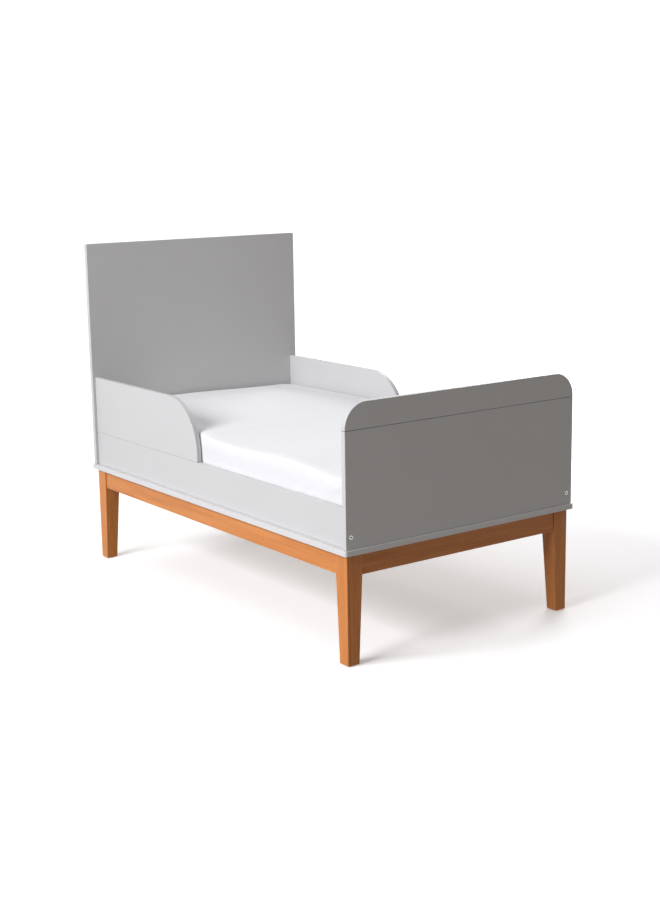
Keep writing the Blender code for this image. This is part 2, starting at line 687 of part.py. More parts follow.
def sheet_mesh():
    """A thin cap over the core that reaches in under it on all sides and is open underneath."""

    def build(shape):
        hems = []
        for grow in (SHEET_OUT, MATTRESS_GAP):
            rings = pad_rings(shape, grow)
            half_length, half_width = CORE_HALF_LENGTH - SHEET_HEM, CORE_HALF_WIDTH - SHEET_HEM
            outline = rounded_rectangle(half_length, half_width, MATTRESS_EDGE)
            hem = [shape.verts.new((*pair, -grow)) for pair in outline]
            join_rings(shape, hem, rings[0])
            hems.append(hem)
        join_rings(shape, *hems)

    return mesh_from("fitted_sheet", build)


def bedding(foam, cotton):
    """The mattress core in its fitted sheet, on an empty that lifts both off the slats."""
    lift = add_object("mattress_lift", None, location=(0, 0, SLAT_TOP + JOINT_GAP + SHEET_OUT))
    add_object("mattress", core_mesh(), foam, parent=lift)
    add_object("fitted_sheet", sheet_mesh(), cotton, parent=lift)


def main():
    for old in list(bpy.data.objects):
        bpy.data.objects.remove(old)
    paint = material("white_satin_paint", (0.72, 0.72, 0.72), 0.42)
    plinth_paint = material("white_plinth_paint", (0.74, 0.74, 0.75), 0.4)
    stain = material("stained_beech", (0.62, 0.25, 0.10), 0.42)
    pine = material("planed_pine", (0.70, 0.52, 0.32), 0.6)
    beech = material("beech_dowel", (0.66, 0.47, 0.30), 0.6)
    steel = material("nickel_plated_steel", (0.62, 0.61, 0.58), 0.28, 1.0)
    plastic = material("grey_nylon", (0.30, 0.29, 0.28), 0.5)
    foam = material("mattress_ticking", (0.80, 0.79, 0.75), 0.9)
    cotton = material("white_cotton", (0.86, 0.86, 0.86), 0.85)

    footboard = end_boards(paint)
    rails, guards = side_boards(paint)
    plinth(plinth_paint)
    bolt_end_boards(footboard[0], footboard[1], rails, steel)
    dowels(footboard, rails, guards, beech)
    legs(stain, pine, steel, plastic)
    aprons(stain)
    slats(pine)
    bedding(foam, cotton)


main()
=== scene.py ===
"""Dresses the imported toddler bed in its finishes, and makes its mattress, its fitted sheet and the studio."""

import json
import math

import bmesh
import bpy
from mathutils import Matrix, Vector
from mathutils.bvhtree import BVHTree

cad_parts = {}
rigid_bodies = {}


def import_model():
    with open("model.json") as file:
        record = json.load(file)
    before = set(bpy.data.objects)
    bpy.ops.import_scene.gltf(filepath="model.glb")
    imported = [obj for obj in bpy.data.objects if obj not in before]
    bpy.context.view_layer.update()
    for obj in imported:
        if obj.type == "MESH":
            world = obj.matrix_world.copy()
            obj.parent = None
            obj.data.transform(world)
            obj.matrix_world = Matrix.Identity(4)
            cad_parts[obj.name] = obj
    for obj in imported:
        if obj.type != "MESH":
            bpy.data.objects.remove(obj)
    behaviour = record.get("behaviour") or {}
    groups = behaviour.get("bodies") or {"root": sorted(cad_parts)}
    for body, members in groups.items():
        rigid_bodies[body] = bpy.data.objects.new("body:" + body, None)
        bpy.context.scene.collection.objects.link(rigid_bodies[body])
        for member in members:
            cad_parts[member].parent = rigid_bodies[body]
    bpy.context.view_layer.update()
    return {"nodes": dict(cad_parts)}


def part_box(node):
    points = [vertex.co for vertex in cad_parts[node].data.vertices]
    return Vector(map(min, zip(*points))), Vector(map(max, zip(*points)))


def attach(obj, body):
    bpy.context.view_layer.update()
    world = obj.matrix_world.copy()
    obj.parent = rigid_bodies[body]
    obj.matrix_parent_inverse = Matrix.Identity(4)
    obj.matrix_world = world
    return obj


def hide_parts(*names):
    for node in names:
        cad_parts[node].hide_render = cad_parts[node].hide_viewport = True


bl_info = {
    "name": "Toddler Bed",
    "version": (1, 0, 0),
    "blender": (4, 5, 0),
    "location": "View3D > Sidebar > Toddler Bed",
    "description": "Finishes, bedding and studio for a toddler bed",
    "category": "Object",
}

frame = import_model()
CORE_LOW, CORE_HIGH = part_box("mattress")
SHEET_LOW, SHEET_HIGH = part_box("fitted_sheet")
MM = 0.001
WAVE_LENGTH = math.pi / 10  # of a wave texture at a scale of 1, in metres

# Pieces that share a finish, and the way that the grain of the wooden ones runs.
CORNERS = ["head_left", "head_right", "foot_left", "foot_right"]
FOOTBOARD = ["footboard_panel", "footboard_top"]
PLAIN_BOARDS = ["headboard", "side_rail_left", "side_rail_right", "guard_left", "guard_right"]
PLINTH_BOARDS = ["plinth_left", "plinth_right", "plinth_head", "plinth_foot"]
LEGS = ["leg_" + corner for corner in CORNERS]
SIDE_APRONS = ["apron_left", "apron_right"]
END_APRONS = ["apron_head", "apron_foot"]
SLATS = [f"slat_{number:02d}" for number in range(1, 11)]
LEDGERS = ["ledger_left", "ledger_right"]
CORNER_BLOCKS = ["corner_block_" + corner for corner in CORNERS]
GUARD_DOWELS = [f"guard_dowel_{side}_{number}" for side in ("left", "right") for number in (1, 2)]
FOOT_DOWELS = [f"footboard_dowel_{number}" for number in (1, 2, 3)]
BOLTS = [kind + corner for kind in ("end_bolt_", "leg_bolt_", "barrel_nut_") for corner in CORNERS]
GLIDES = ["glide_" + corner for corner in CORNERS]


def linear(text):
    """The linear RGBA of an sRGB hex colour."""
    channels = [int(text[place:place + 2], 16) / 255 for place in (1, 3, 5)]
    return [c / 12.92 if c <= 0.04045 else ((c + 0.055) / 1.055) ** 2.4 for c in channels] + [1.0]


def colour_setting(name, text, description):
    return bpy.props.FloatVectorProperty(
        name=name, description=description, subtype="COLOR", size=4, min=0, max=1, default=linear(text)
    )


def length_setting(name, metres, description):
    return bpy.props.FloatProperty(
        name=name, description=description, default=metres, min=0, precision=5, unit="LENGTH"
    )


def share_setting(name, value, description):
    return bpy.props.FloatProperty(
        name=name, description=description, default=value, min=0, max=1, subtype="FACTOR"
    )


def strength_setting(name, value, description):
    return bpy.props.FloatProperty(name=name, description=description, default=value, min=0)


def power_setting(name, watts, description):
    return bpy.props.FloatProperty(name=name, description=description, default=watts, min=0, unit="POWER")


class PaintSettings(bpy.types.PropertyGroup):
    """The sprayed lacquer on the boards."""

    board: colour_setting("Boards", "#BFBFBF", "Lacquer on the boards")
    # Painted light: the plinth has the boards' own lacquer, drawn a shade lighter for the light that it catches
    # from the floor.
    plinth: colour_setting("Plinth", "#CBCACA", "Lacquer on the plinth, a shade lighter than the boards")
    roughness: share_setting("Roughness", 0.42, "Satin lacquer")
    peel: length_setting("Peel", 4 * MM, "Width of one wave of the sprayed surface")


class WoodSettings(bpy.types.PropertyGroup):
    """The stained base and the plain timber inside the bed."""

    stain: colour_setting("Stain", "#C77D3D", "Most of the stained beech")
    stain_deep: colour_setting("Deep stain", "#B46B30", "Where the late wood takes more of the stain")
    stain_pale: colour_setting("Pale stain", "#D38A4A", "Where the early wood takes less of it")
    pine: colour_setting("Pine", "#D9B98A", "Planed pine of the slats")
    pine_deep: colour_setting("Pine rings", "#B98A55", "Late wood of the pine")
    pine_pale: colour_setting("Pale pine", "#E8CFA6", "Early wood of the pine")
    ring: length_setting("Ring", 5 * MM, "Spacing of the growth rings")
    roughness: share_setting("Roughness", 0.4, "Satin clear lacquer")


class MetalSettings(bpy.types.PropertyGroup):
    """The bolts, the barrel nuts and the nylon under the legs."""

    nickel: colour_setting("Nickel", "#E6E3DC", "Nickel plating")
    nylon: colour_setting("Nylon", "#4A4744", "Moulded nylon of the glides")
    roughness: share_setting("Roughness", 0.27, "Bright plating, a little rubbed")


class BeddingSettings(bpy.types.PropertyGroup):
    """The mattress and its fitted sheet."""

    cotton: colour_setting("Sheet", "#D8D8DA", "Bleached percale")
    ticking: colour_setting("Ticking", "#E9E5DB", "Ground of the mattress cover")
    stripe: colour_setting("Stripe", "#B9B6AE", "Stripe of the mattress cover, and its piping")
    cell: length_setting("Cell", 22 * MM, "Size of the mattress's faces before they are divided")
    crown: length_setting("Crown", 2.5 * MM, "The furthest that the foam swells")
    hem: length_setting("Hem", 60 * MM, "How far the sheet turns in under the mattress")
    thread: length_setting("Thread", 2.6 * MM, "Spacing of the threads as drawn")


class StudioSettings(bpy.types.PropertyGroup):
    """The floor, the lights and the camera."""

    paper: colour_setting("Paper", "#F4F4F4", "Seamless paper of the floor and the backdrop")
    glow: strength_setting("Glow", 0.27, "Brightness of the lit-through paper")
    # Painted light: how much more the paper glows towards the far wall.
    backdrop: strength_setting("Backdrop", 0.62, "Painted glow of the paper towards the far wall")
    key: power_setting("Key", 234, "Softbox beside the bed")
    top: power_setting("Top", 23, "Softbox over the bed")
    back: power_setting("Back", 81, "Softbox behind the bed")
    sky: strength_setting("Sky", 0.25, "Light from all round")
    lens: bpy.props.FloatProperty(
        name="Lens", description="Focal length on a 36 mm wide sensor", default=58.61, min=1, unit="CAMERA"
    )


# Materials


def add_node(tree, kind, settings=(), links=()):
    """Adds a node. Settings name its properties, its sockets or a ramp's stops, and links say what feeds its
    sockets."""
    node = tree.nodes.new(kind)
    for name, value in dict(settings).items():
        if name == "stops":
            while len(node.color_ramp.elements) < len(value):
                node.color_ramp.elements.new(1.0)
            for stop, (place, colour) in zip(node.color_ramp.elements, value):
                stop.position = place
                stop.color = colour
        elif isinstance(name, str) and hasattr(node, name):
            setattr(node, name, value)
        else:
            node.inputs[name].default_value = value
    for name, source in dict(links).items():
        tree.links.new(source, node.inputs[name])
    return node


def new_material(name):
    """A new material with only a shader and an output, and its tree and shader."""
    material = bpy.data.materials.new(name)
    material.use_nodes = True
    tree = material.node_tree
    tree.nodes.clear()
    shader = add_node(tree, "ShaderNodeBsdfPrincipled")
    add_node(tree, "ShaderNodeOutputMaterial", links={"Surface": shader.outputs["BSDF"]})
    return material, tree, shader


def darker(colour, share):
    """A colour with its red, green and blue brought down to a share of what they were."""
    return [channel * share for channel in colour[:3]] + [1.0]


def sprayed_lacquer(name, colour, settings, joint=None):
    """Satin polyurethane sprayed on MDF: an even opaque coat with a soft sheen, faint mottling and a fine
    orange peel that breaks up a highlight. Real peel is 1 to 2 mm wide, drawn coarser here so that it shows.
    joint is the height of the hairline where two boards meet, darkened there by painted shade in the groove and
    by dust. It is 0.3 mm wide, drawn at 1.6 mm so that it shows."""
    mottle_width = 250 * MM
    peel_height = 0.05 * MM
    joint_half = 0.6 * MM
    joint_fade = 1.0 * MM
    material, tree, shader = new_material(name)
    place = add_node(tree, "ShaderNodeTexCoord").outputs["Object"]
    mottle = add_node(
        tree, "ShaderNodeTexNoise", {"Scale": 1 / mottle_width, "Detail": 4.0, "Roughness": 0.6},
        {"Vector": place},
    )
    peel = add_node(
        tree, "ShaderNodeTexNoise", {"Scale": 1 / settings.peel, "Detail": 2.0, "Roughness": 0.5},
        {"Vector": place},
    )
    tone = add_node(
        tree, "ShaderNodeValToRGB", {"stops": [(0.35, darker(colour, 0.98)), (0.65, colour[:])]},
        {"Fac": mottle.outputs["Fac"]},
    )
    dulled = add_node(
        tree, "ShaderNodeMapRange",
        {"To Min": settings.roughness - 0.04, "To Max": settings.roughness + 0.05},
        {"Value": mottle.outputs["Fac"]},
    )
    bump = add_node(
        tree, "ShaderNodeBump", {"Strength": 0.12, "Distance": peel_height}, {"Height": peel.outputs["Fac"]}
    )
    shade = tone.outputs["Color"]
    if joint is not None:
        parts = add_node(tree, "ShaderNodeSeparateXYZ", links={0: place})
        above = add_node(
            tree, "ShaderNodeMath", {"operation": "SUBTRACT", 1: joint}, {0: parts.outputs["Z"]}
        )
        reach = add_node(tree, "ShaderNodeMath", {"operation": "ABSOLUTE"}, {0: above.outputs["Value"]})
        # Painted shade and dust: a band at the joint's height is darkened, standing for the shade in the groove
        # between the two boards.
        dust_and_shade = add_node(
            tree, "ShaderNodeMapRange",
            {"From Min": joint_half, "From Max": joint_fade, "To Min": 0.75, "To Max": 0.0},
            {"Value": reach.outputs["Value"]},
        )
        lined = add_node(
            tree, "ShaderNodeMix", {"data_type": "RGBA", 7: darker(colour, 0.2)},
            {0: dust_and_shade.outputs["Result"], 6: shade},
        )
        shade = lined.outputs[2]
    tree.links.new(shade, shader.inputs["Base Color"])
    tree.links.new(dulled.outputs["Result"], shader.inputs["Roughness"])
    tree.links.new(bump.outputs["Normal"], shader.inputs["Normal"])
    shader.inputs["IOR"].default_value = 1.5
    return material


def timber(name, axis, tones, ring, roughness, lacquered):
    """Wood sawn along one axis: tones is its deep, middle and pale colour. Growth rings show as long wavering
    bands, vessels as hair lines, and beech's rays as short dark flecks. A vessel is 0.1 mm wide, drawn at 1 mm
    so that it shows."""
    material, tree, shader = new_material(name)
    place = add_node(tree, "ShaderNodeTexCoord").outputs["Object"]
    along = {"X": 0, "Y": 1, "Z": 2}[axis]
    vessel_width = 1 * MM
    vessel_depth = 0.08 * MM
    ray_width = 1.6 * MM
    figure = {}
    # Each is drawn out along the grain: stretch is its width as a share of its length.
    for part, width, stretch, detail, unevenness, waver in (
        ("bands", 4 * ring, 0.05, 3.0, 0.5, 0.6),
        ("rings", ring, 0.03, 4.0, 0.65, 0.3),
        ("vessels", vessel_width, 0.015, 2.0, 0.7, 0.0),
        ("rays", ray_width, 0.16, 1.0, 0.5, 0.0),
    ):
        scale = [1.0, 1.0, 1.0]
        scale[along] = stretch
        grain = add_node(tree, "ShaderNodeMapping", {"Scale": scale}, {"Vector": place})
        noise = add_node(
            tree, "ShaderNodeTexNoise",
            {"Scale": 1 / width, "Detail": detail, "Roughness": unevenness, "Distortion": waver},
            {"Vector": grain.outputs["Vector"]},
        )
        figure[part] = noise.outputs["Fac"]
    growth = add_node(
        tree, "ShaderNodeMath", {"operation": "ADD"}, {0: figure["bands"], 1: figure["rings"]}
    )
    vessel_share = add_node(
        tree, "ShaderNodeMath", {"operation": "MULTIPLY", 1: 0.16}, {0: figure["vessels"]}
    )
    depth = add_node(
        tree, "ShaderNodeMath", {"operation": "MULTIPLY_ADD", 1: 0.42},
        {0: growth.outputs["Value"], 2: vessel_share.outputs["Value"]},
    )
    deep, middle, pale = tones
    tone = add_node(
        tree, "ShaderNodeValToRGB",
        {"stops": [(0.36, deep), (0.5, middle), (0.66, pale)]}, {"Fac": depth.outputs["Value"]},
    )
    fleck = add_node(
        tree, "ShaderNodeMapRange", {"From Min": 0.6, "From Max": 0.72, "To Max": 0.4},
        {"Value": figure["rays"]},
    )
    flecked = add_node(
        tree, "ShaderNodeMix", {"data_type": "RGBA", 7: darker(deep, 0.62)},
        {0: fleck.outputs["Result"], 6: tone.outputs["Color"]},
    )
    sheen = add_node(
        tree, "ShaderNodeMapRange", {"To Min": roughness - 0.06, "To Max": roughness + 0.08},
        {"Value": figure["rings"]},
    )
    bump = add_node(
        tree, "ShaderNodeBump", {"Strength": 0.3 if lacquered else 0.6, "Distance": vessel_depth},
        {"Height": figure["vessels"]},
    )
    tree.links.new(flecked.outputs[2], shader.inputs["Base Color"])
    tree.links.new(sheen.outputs["Result"], shader.inputs["Roughness"])
    tree.links.new(bump.outputs["Normal"], shader.inputs["Normal"])
    shader.inputs["IOR"].default_value = 1.5
    if lacquered:
        shader.inputs["Specular IOR Level"].default_value = 0.25
        shader.inputs["Coat Weight"].default_value = 0.06
        shader.inputs["Coat Roughness"].default_value = 0.3
    return material


def plated_nickel(settings):
    """Nickel plated on steel: a warm bright metal, rubbed in small patches, with painted shade darkening the
    hex sockets of the end bolts, where the recess would be in shade."""
    patch = 1.5 * MM
    socket_radius = 2.5 * MM
    socket_fade = 2.9 * MM
    material, tree, shader = new_material("nickel plated steel")
    place = add_node(tree, "ShaderNodeTexCoord").outputs["Object"]
    rub = add_node(tree, "ShaderNodeTexNoise", {"Scale": 1 / patch, "Detail": 3.0}, {"Vector": place})
    dulled = add_node(
        tree, "ShaderNodeMapRange",
        {"To Min": settings.roughness - 0.08, "To Max": settings.roughness + 0.12},
        {"Value": rub.outputs["Fac"]},
    )
    # One distance serves all four end bolts, since they mirror each other across the bed and along it.
    low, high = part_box("end_bolt_foot_left")
    axis = (low + high) / 2
    parts = add_node(tree, "ShaderNodeSeparateXYZ", links={0: place})
    across = add_node(tree, "ShaderNodeMath", {"operation": "ABSOLUTE"}, {0: parts.outputs["Y"]})
    section = add_node(
        tree, "ShaderNodeCombineXYZ", links={"Y": across.outputs["Value"], "Z": parts.outputs["Z"]}
    )
    reach = add_node(
        tree, "ShaderNodeVectorMath", {"operation": "DISTANCE", 1: (0, abs(axis.y), axis.z)},
        {0: section.outputs["Vector"]},
    )
    socket = add_node(
        tree, "ShaderNodeMapRange",
        {"From Min": socket_radius, "From Max": socket_fade, "To Min": 1.0, "To Max": 0.0},
        {"Value": reach.outputs["Value"]},
    )
    tone = add_node(
        tree, "ShaderNodeValToRGB", {"stops": [(0.4, darker(settings.nickel, 0.8)), (0.6, settings.nickel[:])]},
        {"Fac": rub.outputs["Fac"]},
    )
    # Painted shade: a dark disc over each end bolt's hex socket stands for the shade inside the recess.
    socket_shaded = add_node(
        tree, "ShaderNodeMix", {"data_type": "RGBA", 7: linear("#3B3835")},
        {0: socket.outputs["Result"], 6: tone.outputs["Color"]},
    )
    tree.links.new(socket_shaded.outputs[2], shader.inputs["Base Color"])
    tree.links.new(dulled.outputs["Result"], shader.inputs["Roughness"])
    shader.inputs["Metallic"].default_value = 1.0
    return material


def moulded_nylon(settings):
    """Injection-moulded nylon: a dull dark plastic with the fine spark-eroded grain of its mould."""
    grain_width = 0.8 * MM
    grain_height = 0.05 * MM
    material, tree, shader = new_material("moulded nylon")
    place = add_node(tree, "ShaderNodeTexCoord").outputs["Object"]
    grain = add_node(tree, "ShaderNodeTexNoise", {"Scale": 1 / grain_width, "Detail": 3.0}, {"Vector": place})
    tone = add_node(
        tree, "ShaderNodeValToRGB",
        {"stops": [(0.3, darker(settings.nylon, 0.8)), (0.7, settings.nylon[:])]},
        {"Fac": grain.outputs["Fac"]},
    )
    bump = add_node(
        tree, "ShaderNodeBump", {"Strength": 0.4, "Distance": grain_height}, {"Height": grain.outputs["Fac"]}
    )
    tree.links.new(tone.outputs["Color"], shader.inputs["Base Color"])
    tree.links.new(bump.outputs["Normal"], shader.inputs["Normal"])
    shader.inputs["Roughness"].default_value = 0.55
    shader.inputs["IOR"].default_value = 1.53
    return material


def weave_height(tree, place, thread):
    """The height of a plain weave: threads run along all three axes, so each face shows the two that lie
    in it."""
    total = None
    for direction in ("X", "Y", "Z"):
        threads = add_node(
            tree, "ShaderNodeTexWave",
            {"bands_direction": direction, "Scale": WAVE_LENGTH / thread, "Distortion": 0.5, "Detail": 1.0},
            {"Vector": place},
        )
        if total is None:
            total = threads.outputs["Fac"]
        else:
            total = add_node(
                tree, "ShaderNodeMath", {"operation": "ADD"}, {0: total, 1: threads.outputs["Fac"]}
            ).outputs["Value"]
    return total


def percale(settings):
    """Bleached cotton percale: a matt closely woven white with a soft fuzz at the edges of its folds. Real
    threads are 0.25 mm apart, drawn ten times coarser so that the weave shows."""
    slub_width = 29.41 * MM
    crumple_height = 0.5 * MM
    weave_depth = 0.1 * MM
    material, tree, shader = new_material("cotton percale")
    place = add_node(tree, "ShaderNodeTexCoord").outputs["Object"]
    weave = weave_height(tree, place, settings.thread)
    slub = add_node(
        tree, "ShaderNodeTexNoise", {"Scale": 1 / slub_width, "Detail": 5.0, "Roughness": 0.65},
        {"Vector": place},
    )
    tone = add_node(
        tree, "ShaderNodeValToRGB",
        {"stops": [(0.3, darker(settings.cotton, 0.975)), (0.7, settings.cotton[:])]},
        {"Fac": slub.outputs["Fac"]},
    )
    crumple = add_node(
        tree, "ShaderNodeBump", {"Strength": 0.35, "Distance": crumple_height}, {"Height": slub.outputs["Fac"]}
    )
    bump = add_node(
        tree, "ShaderNodeBump", {"Strength": 0.25, "Distance": weave_depth},
        {"Height": weave, "Normal": crumple.outputs["Normal"]},
    )
    tree.links.new(tone.outputs["Color"], shader.inputs["Base Color"])
    tree.links.new(bump.outputs["Normal"], shader.inputs["Normal"])
    shader.inputs["Roughness"].default_value = 0.85
    shader.inputs["IOR"].default_value = 1.5
    shader.inputs["Sheen Weight"].default_value = 0.15
    shader.inputs["Sheen Roughness"].default_value = 0.5
    return material


def woven_ticking(settings):
    """Cotton ticking over the foam: a dense twill in off-white with a woven stripe along the bed. Its threads
    are drawn as coarse as the sheet's, so that they show."""
    stripe_spacing = 24 * MM
    weave_depth = 0.15 * MM
    material, tree, shader = new_material("woven ticking")
    place = add_node(tree, "ShaderNodeTexCoord").outputs["Object"]
    weave = weave_height(tree, place, settings.thread)
    stripe = add_node(
        tree, "ShaderNodeTexWave",
        {"bands_direction": "Y", "Scale": WAVE_LENGTH / stripe_spacing, "Distortion": 0.0}, {"Vector": place},
    )
    tone = add_node(
        tree, "ShaderNodeValToRGB",
        {"stops": [(0.86, settings.ticking[:]), (0.92, settings.stripe[:])]}, {"Fac": stripe.outputs["Fac"]},
    )
    bump = add_node(tree, "ShaderNodeBump", {"Strength": 0.5, "Distance": weave_depth}, {"Height": weave})
    tree.links.new(tone.outputs["Color"], shader.inputs["Base Color"])
    tree.links.new(bump.outputs["Normal"], shader.inputs["Normal"])
    shader.inputs["Roughness"].default_value = 0.8
    shader.inputs["Sheen Weight"].default_value = 0.1
    return material


def plain_cotton(name, colour):
    """Twisted cotton thread or bias tape: matt, with the slant of its twist as a fine unevenness."""
    twist_width = 2 * MM
    twist_height = 0.2 * MM
    material, tree, shader = new_material(name)
    place = add_node(tree, "ShaderNodeTexCoord").outputs["Object"]
    twist = add_node(tree, "ShaderNodeTexNoise", {"Scale": 1 / twist_width, "Detail": 3.0}, {"Vector": place})
    tone = add_node(
        tree, "ShaderNodeValToRGB",
        {"stops": [(0.35, darker(colour, 0.88)), (0.65, colour[:])]},
        {"Fac": twist.outputs["Fac"]},
    )
    bump = add_node(
        tree, "ShaderNodeBump", {"Strength": 0.5, "Distance": twist_height}, {"Height": twist.outputs["Fac"]}
    )
    tree.links.new(tone.outputs["Color"], shader.inputs["Base Color"])
    tree.links.new(bump.outputs["Normal"], shader.inputs["Normal"])
    shader.inputs["Roughness"].default_value = 0.85
    return material


def seamless_paper(settings):
    """White background paper, lit from above and a little from behind: no sheen and no edge that the eye can
    find. It glows evenly, and more towards the far wall, where that glow is painted light. Its pulp lies in
    faint clouds."""
    cloud_width = 16.67 * MM
    far_way = (-0.809, 0.588, 0.0)
    lamps_start, lamps_full = 0.5, 3.5
    material, tree, shader = new_material("seamless paper")
    place = add_node(tree, "ShaderNodeTexCoord").outputs["Object"]
    pulp = add_node(tree, "ShaderNodeTexNoise", {"Scale": 1 / cloud_width, "Detail": 3.0}, {"Vector": place})
    tone = add_node(
        tree, "ShaderNodeValToRGB",
        {"stops": [(0.3, darker(settings.paper, 0.995)), (0.7, settings.paper[:])]},
        {"Fac": pulp.outputs["Fac"]},
    )
    tree.links.new(tone.outputs["Color"], shader.inputs["Base Color"])
    shader.inputs["Roughness"].default_value = 1.0
    shader.inputs["Specular IOR Level"].default_value = 0.0
    shader.inputs["Emission Color"].default_value = linear("#FFFFFF")
    # Painted light: the paper's glow rises towards the far wall, as if lamps lit it there.
    far = add_node(
        tree, "ShaderNodeVectorMath", {"operation": "DOT_PRODUCT", 1: far_way}, {0: place}
    )
    painted_glow = add_node(
        tree, "ShaderNodeMapRange",
        {
            "From Min": lamps_start, "From Max": lamps_full,
            "To Min": settings.glow, "To Max": settings.glow + settings.backdrop,
        },
        {"Value": far.outputs["Value"]},
    )
    tree.links.new(painted_glow.outputs["Result"], shader.inputs["Emission Strength"])
    return material


def finish_nodes(names, material):
    """Gives CAD nodes a finish. Raises if one isn't there."""
    for name in names:
        if name not in frame["nodes"]:
            raise RuntimeError(f"the packed bed has no node named {name}")
        for piece in frame["nodes"][name].material_slots:
            piece.material = material


# Shapes


def new_piece(name, points, faces, material):
    """A new mesh object, smooth shaded, with one material."""
    mesh = bpy.data.meshes.new(name)
    mesh.from_pydata(points, [], faces)
    mesh.update()
    mesh.shade_smooth()
    piece = bpy.data.objects.new(name, mesh)
    piece.data.materials.append(material)
    bpy.context.scene.collection.objects.link(piece)
    return piece


def grid_lines(half, ends, cell):
    """Places along one axis of a pad: at the given steps in from each end, and a cell apart between."""
    inner = half - ends[-1]
    count = max(2, round(2 * inner / cell))
    middle = [-inner + 2 * inner * step / count for step in range(count + 1)]
    return [-half + place for place in ends[:-1]] + middle + [half - place for place in reversed(ends[:-1])]


def rounded_place(point, half, corner, edge):
    """The place on a pad's rounded surface of a point on its box."""
    x, y, z = point
    near = Vector([max(corner - h, min(h - corner, c)) for c, h in zip((x, y), half[:2])])
    out = Vector((x, y)) - near
    reach = corner - edge
    if out.length > reach:
        out = out.normalized() * reach
    base = Vector((near.x + out.x, near.y + out.y, max(edge - half[2], min(half[2] - edge, z))))
    return base + (Vector(point) - base).normalized() * edge


def pad_mesh(low, high, corner, edge, cell):
    """Points and faces of a closed pad with rounded corners and edges, and the rings of points along its
    lower and upper edges."""
    centre = (low + high) / 2
    half = (high - low) / 2
    rounding = [0.0, edge / 2, edge]
    turning = rounding + [edge + (corner - edge) * share for share in (0.25, 0.55, 1.0)]
    lines = [grid_lines(h, ends, cell) for h, ends in zip(half, (turning, turning, rounding))]
    last = [len(line) - 1 for line in lines]
    index = {}
    points = []

    def corner_of(*key):
        if key not in index:
            index[key] = len(points)
            place = [line[k] for line, k in zip(lines, key)]
            points.append(centre + rounded_place(place, half, corner, edge))
        return index[key]

    faces = []
    for axis in range(3):
        first, second = [(1, 2), (2, 0), (0, 1)][axis]
        for end in (0, last[axis]):
            for a in range(last[first]):
                for b in range(last[second]):
                    face = []
                    for step_a, step_b in ((0, 0), (1, 0), (1, 1), (0, 1)):
                        key = [0, 0, 0]
                        key[axis] = end
                        key[first] = a + step_a
                        key[second] = b + step_b
                        face.append(corner_of(*key))
                    faces.append(face if end else face[::-1])
    around = [(i, 0) for i in range(last[0])] + [(last[0], j) for j in range(last[1])]
    around += [(i, last[1]) for i in range(last[0], 0, -1)] + [(0, j) for j in range(last[1], 0, -1)]
    rings = [[index[(i, j, level)] for i, j in around] for level in (0, last[2])]
    return points, faces, rings


def tube(path, closed, radius, flat=1.0, sides=8):
    """Points and faces of a tube that follows a path, flattened across its height if flat is under 1."""
    points = []
    faces = []
    count = len(path)
    for number, place in enumerate(path):
        before = path[(number - 1) % count] if closed or number else place
        after = path[(number + 1) % count] if closed or number < count - 1 else place
        along = (after - before).normalized()
        side = along.cross(Vector((0, 0, 1)))
        side = side.normalized() if side.length > 0.01 else Vector((1, 0, 0))
        up = side.cross(along)
        for step in range(sides):
            turn = 2 * math.pi * step / sides
            points.append(place + side * radius * math.cos(turn) + up * radius * flat * math.sin(turn))
    for number in range(count if closed else count - 1):
        for step in range(sides):
            here, there = number * sides, (number + 1) % count * sides
            turn = (step + 1) % sides
            faces.append((here + step, there + step, there + turn, here + turn))
    if not closed:
        faces.append(list(range(sides)))
        faces.append([(count - 1) * sides + step for step in reversed(range(sides))])
    return points, faces


def between(pairs, place):
    """The value at a place along a row of (place, value) pairs, eased from each pair to the next."""
    if place <= pairs[0][0]:
        return pairs[0][1]
    for (start, low), (end, high) in zip(pairs, pairs[1:]):
        if place < end:
            share = (place - start) / (end - start)
            return low + (high - low) * share * share * (3 - 2 * share)
    return pairs[-1][1]


def points_of(piece):
    return [vertex.co.copy() for vertex in piece.data.vertices]


def move_points(piece, places):
    for vertex, place in zip(piece.data.vertices, places):
        vertex.co = place
    piece.data.update()


def normals_of(piece):
    return [vertex.normal.copy() for vertex in piece.data.vertices]


def subdivide(piece):
    """Rounds a piece with one level of subdivision, and keeps the result as its mesh."""
    piece.modifiers.new("rounding", "SUBSURF").levels = 1
    apply_modifiers(piece)


def apply_modifiers(piece):
    """Makes the shape that a piece's modifiers give into its mesh."""
    graph = bpy.context.evaluated_depsgraph_get()
    made = bpy.data.meshes.new_from_object(piece.evaluated_get(graph))
    piece.modifiers.clear()
    piece.data = made
    piece.data.shade_smooth()


def settle(piece, steps, furthest, held, change):
    """Lets a piece move as cloth for some frames, and keeps its shape, with each point within furthest of its
    start. Held is a weight for each point, 1 where it can't move, and change sets the cloth's own values."""
    start = points_of(piece)
    group = piece.vertex_groups.new(name="held")
    for number, weight in enumerate(held):
        if weight:
            group.add([number], weight, "REPLACE")
    cloth = piece.modifiers.new("cloth", "CLOTH")
    cloth.settings.vertex_group_mass = "held"
    cloth.settings.quality = 5
    cloth.collision_settings.use_collision = False
    change(cloth)
    cloth.point_cache.frame_start = 1
    cloth.point_cache.frame_end = steps
    for number in range(1, steps + 1):
        bpy.context.scene.frame_set(number)
    graph = bpy.context.evaluated_depsgraph_get()
    moved = [vertex.co.copy() for vertex in piece.evaluated_get(graph).data.vertices]
    piece.modifiers.remove(cloth)
    piece.vertex_groups.remove(group)
    bpy.context.scene.frame_set(1)
    for number, place in enumerate(moved):
        step = place - start[number]
        if step.length > furthest:
            moved[number] = start[number] + step.normalized() * furthest
    move_points(piece, moved)


# Operators


